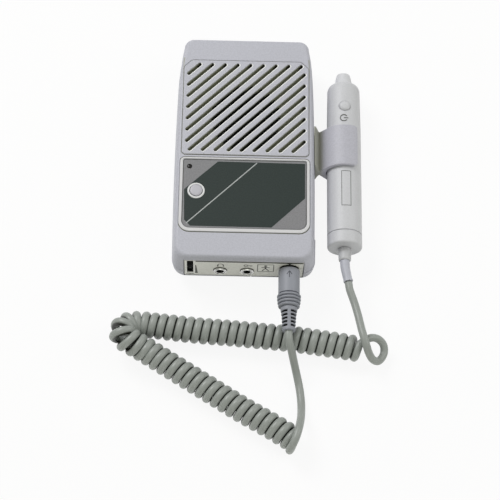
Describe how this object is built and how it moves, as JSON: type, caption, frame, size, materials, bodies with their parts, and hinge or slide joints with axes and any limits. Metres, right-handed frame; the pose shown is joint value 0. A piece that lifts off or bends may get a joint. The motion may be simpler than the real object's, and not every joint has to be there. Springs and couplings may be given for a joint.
{
  "type": "handheld doppler",
  "caption": "Pocket ultrasound doppler with a slotted speaker grille, a pencil probe in a side clip and a curly cord to its end-panel socket.",
  "frame": {"origin": "centre of the main unit's flat back, on its outer face", "axes": "+Z leaves the front with the grille and label, +Y points to the speaker end, +X to the side with the probe clip"},
  "size_m": [0.1464, 0.2378, 0.0316],
  "materials": {
    "case": "light grey moulded plastic with a fine grain",
    "panel": "plain grey plate",
    "label": "printed film, two tones of grey",
    "button": "light grey plastic",
    "lamp": "dark red lens, unlit",
    "black": "black plastic",
    "felt": "dark acoustic cloth",
    "steel": "plated steel",
    "chrome": "bright plate",
    "brass": "gold plated",
    "cone": "black paper",
    "board": "green solder resist",
    "battery": "printed steel jacket",
    "probe": "light grey moulded plastic",
    "ceramic": "fired ceramic",
    "epoxy": "cast resin",
    "plug": "soft grey moulding",
    "cord": "soft grey cord jacket"
  },
  "bodies": {
    "main_unit": {"front_shell": "case", "rear_shell": "case", "end_panel": "panel", "name_plate": "label", "button_bezel": "button", "calibrate_switch": "black", "power_lamp": "lamp", "button_board": "board", "speaker_felt": "felt", "speaker_frame": "steel", "speaker_cone": "cone", "speaker_magnet": "steel", "main_board": "board", "shield_can": "steel", "signal_chip": "black", "filter_capacitor_1": "black", "filter_capacitor_2": "black", "volume_pot": "black", "headphone_jack": "black", "headphone_nut": "chrome", "line_jack": "black", "line_nut": "chrome", "probe_socket": "black", "battery": "battery", "battery_snap": "black", "case_screw_1": "steel", "case_screw_2": "steel", "case_screw_3": "steel", "case_screw_4": "steel", "probe_holder": "case"},
    "battery_cover": {"battery_door": "case"},
    "calibrate_key": {"calibrate_button": "button"},
    "wheel": {"volume_wheel": "black"},
    "probe": {"probe_body": "probe", "probe_tip": "probe", "transmit_crystal": "ceramic", "receive_crystal": "ceramic", "crystal_backing": "epoxy", "probe_switch": "black", "probe_board": "board", "probe_end_cap": "probe", "cord_collar": "plug", "cord_sleeve": "plug"},
    "probe_key": {"probe_button": "probe"},
    "plug": {"plug_shell": "chrome", "plug_pins": "brass", "plug_body": "plug", "plug_grip": "plug", "plug_relief": "plug", "curly_cord": "cord", "cord_plug_tail": "cord", "cord_probe_tail": "cord"}
  },
  "joints": [
    {"name": "calibrate_press", "type": "slide", "parent": "main_unit", "child": "calibrate_key", "axis": [0, 0, -1], "range_m": [0, 0.0005], "stiffness_N_per_m": 600, "springref_m": -0.001},
    {"name": "volume_turn", "type": "hinge", "parent": "main_unit", "child": "wheel", "pos_m": [-0.0284, -0.0598, 0.0195], "axis": [1, 0, 0], "range_deg": [0, 280]},
    {"name": "battery_cover_slide", "type": "slide", "parent": "main_unit", "child": "battery_cover", "axis": [0, -1, 0], "range_m": [0, 0.022]},
    {"name": "probe_slide", "type": "slide", "parent": "main_unit", "child": "probe", "axis": [0, 1, 0], "range_m": [0, 0.02]},
    {"name": "probe_button_press", "type": "slide", "parent": "probe", "child": "probe_key", "axis": [0, 0, -1], "range_m": [0, 0.0005], "stiffness_N_per_m": 600, "springref_m": -0.001},
    {"name": "plug_pull", "type": "slide", "parent": "main_unit", "child": "plug", "axis": [0, -1, 0], "range_m": [0, 0.008]}
  ]
}
